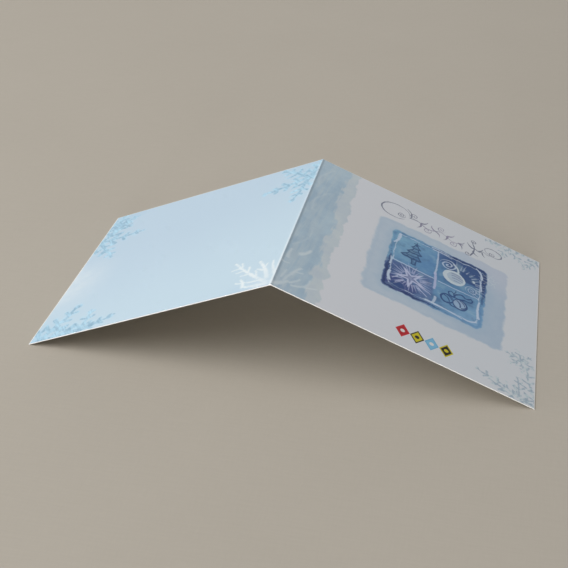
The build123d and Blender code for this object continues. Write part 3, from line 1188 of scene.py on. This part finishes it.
backPrint = {
    "field": ("#cce2ef", "#c5daea"),
    "fieldRun": (20, 150),        # on a slant from the near end of the fold to the far free corner
    "mist": "#dfebf2",            # at the free edge, about halfway along it
    "mistReach": (-112, -152),
    "mistMiddle": 60,
    "mistSpread": (36, 4),
    "haze": "#b7d5ea",            # in the four corners
    "panelMiddle": (-74, 74),
    "hazeBeside": (30, 70),       # how far from the middle it starts and is full, to the sides
    "hazeAbove": (76, 104),       # the same up and down, where the corners count for more
    "hazeDepth": 30,
    "iceDeep": "#82aec8",
    "iceLight": "#c2e8fb",
    "corners": [
        (-147, 113, 4, 31, 1.8, 8, 10), (-142, 135, 30, 14, 1.3, 5, 6), (-141, 1, 8, 34, 1.9, 8, 12),
        (-117, 0, 28, 22, 1.4, 6.5, 8), (-4, 126, 18, 30, 1.6, 7, 10)],
    "frost": "#f1fafd",
    "frostHeight": 6,             # where the fold's frost is whitest
    "frostMist": (24, 2),
    "thaw": (-6, 22),             # how far from there it fades
    "ridge": (-1.7, -0.7),        # the white line along the fold: a painted highlight on the ridge, also its worn white
    "ridgeRun": (90, 20),
}


# a pale field with mist at the free edge, ice in the corners, and the fold's frost
def paintBack(place):
    x, y = split(place)
    loose = useGroup("handTremor", place, reach=1.5, grain=9.0, seed=4.0)
    mottle = ease(grainNoise(place, 0.11, detail=4.0, roughness=0.6), 0.32, 0.68)
    colour = paint(*backPrint["field"], ease(y - x * 0.4, *backPrint["fieldRun"]))
    mist = ease(x, *backPrint["mistReach"])
    mist = mist * ease(calc("ABSOLUTE", y - backPrint["mistMiddle"]), *backPrint["mistSpread"])
    colour = paint(colour, backPrint["mist"], mist * (mottle * 0.4 + 0.6), strength=0.9)
    middleX, middleY = backPrint["panelMiddle"]
    corner = ease(calc("ABSOLUTE", x - middleX), *backPrint["hazeBeside"])
    haze = ease(calc("ABSOLUTE", y - middleY) + corner * backPrint["hazeDepth"], *backPrint["hazeAbove"])
    colour = paint(colour, backPrint["haze"], haze, strength=0.55)
    drifted = useGroup("handTremor", place, reach=3.2, grain=9.0, seed=21.0)
    glow = crystals(loose, backPrint["corners"], softness=2.0)
    colour = paint(colour, backPrint["iceLight"], glow, strength=0.5)
    streaks = useGroup("dryBrush", place, turn=radians(125), streakLength=9.0, streakWidth=1.6, contrast=0.1)
    ice = crystals(drifted, backPrint["corners"], softness=0.6)
    tone = paint(backPrint["iceDeep"], backPrint["iceLight"], mottle * 0.5 + streaks * 0.5)
    colour = paint(colour, tone, ice, strength=0.85)
    shaken = useGroup("handTremor", place, reach=0.7, grain=3.0)
    away = lengthOf(x, y - backPrint["frostHeight"])
    mist = ease(away, *backPrint["frostMist"]) * (mottle * 0.5 + 0.5)
    colour = paint(colour, backPrint["frost"], mist, strength=0.45)
    crumbly = ease(grainNoise(place, 0.5, seed=3.0), 0.3, 0.52) * 0.5 + 0.5
    thawed = ease(away + mottle * 6.0, *backPrint["thaw"]) * crumbly
    white = strokes(shaken, foldFrost, softness=0.7) * thawed
    colour = paint(colour, backPrint["frost"], white, strength=0.95)
    # painted highlight along the back side of the fold's ridge, strongest towards the near end, and also the
    # ridge's worn white
    ridge = ease(x, *backPrint["ridge"]) * (ease(y, *backPrint["ridgeRun"]) * 0.7 + 0.3)
    return paint(colour, backPrint["frost"], ridge, strength=0.6)


paperFinish = {
    "core": "#f8f8f7",
    "inside": "#f2f2ef",
    "insideTone": "#e9e9e5",
    "fibre": "#dcd8ce",
    "roughness": (0.5, 0.62),
    "toothHeight": 0.012 * mm,
    "toothStrength": 0.5,
    "bareBorderAndHighlight": 0.9,           # how bare the worn cut border, also a painted edge highlight, and the cracked fold are
    "bareFold": 0.5,
    "crackHeight": 2.0,          # how far the cracks stand out, beside the tooth
}


def newMaterial(name):
    material = bpy.data.materials.new(name)
    material.use_nodes = True
    tree = material.node_tree
    place = addNode(tree, "ShaderNodeUVMap", uv_map="sheetPlace")
    return material, tree, tree.nodes["Principled BSDF"], Wire(place.outputs[0])


def finishPaper(tree, shader, place, colour, extraHeight=None, depth=1.0):
    height, tone, fibre = useGroup("boardTooth", place)
    feed(shader.inputs["Base Color"], paint(colour, paperFinish["fibre"], fibre, strength=0.06))
    feed(shader.inputs["Roughness"], mixNumber(tone, *paperFinish["roughness"]))
    if extraHeight is not None:
        height = height + extraHeight
    bump = addNode(tree, "ShaderNodeBump")
    bump.inputs["Strength"].default_value = paperFinish["toothStrength"] * depth
    bump.inputs["Distance"].default_value = paperFinish["toothHeight"]
    feed(bump.inputs["Height"], height)
    tree.links.new(bump.outputs[0], shader.inputs["Normal"])


def makePrinted(name, paintSheet):
    material, tree, shader, place = newMaterial(name)
    colour = paintSheet(place)
    border, fold = useGroup("inkWearAndEdgeHighlight", place)
    # the cut border is painted white: worn ink, and also a painted highlight on the edges
    colour = paint(colour, paperFinish["core"], border, strength=paperFinish["bareBorderAndHighlight"])
    colour = paint(colour, paperFinish["core"], fold, strength=paperFinish["bareFold"])
    finishPaper(tree, shader, place, colour, extraHeight=fold * paperFinish["crackHeight"])
    return material


def makeInside():
    material, tree, shader, place = newMaterial("insideFace")
    cloud = grainNoise(place, 0.14, detail=3.0)
    colour = paint(paperFinish["inside"], paperFinish["insideTone"], ease(cloud, 0.35, 0.7), strength=0.6)
    finishPaper(tree, shader, place, colour, depth=1.6)
    return material


def makeCutEdge():
    material, tree, shader, place = newMaterial("cutEdge")
    plies = streakNoise(place, 0.0, 0.8, 0.045, roughness=0.7)
    colour = paint(paperFinish["core"], paperFinish["fibre"], ease(plies, 0.5, 0.75), strength=0.35)
    finishPaper(tree, shader, place, colour, extraHeight=plies, depth=2.0)
    return material


for material in (makePrinted("frontPrint", paintFront), makePrinted("backPrint", paintBack), makeInside(),
                 makeCutEdge()):       # in the order of their numbers in makeCard
    card.data.materials.append(material)
    print(material.name, "material made")

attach(card, "root")
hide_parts("folded_card")
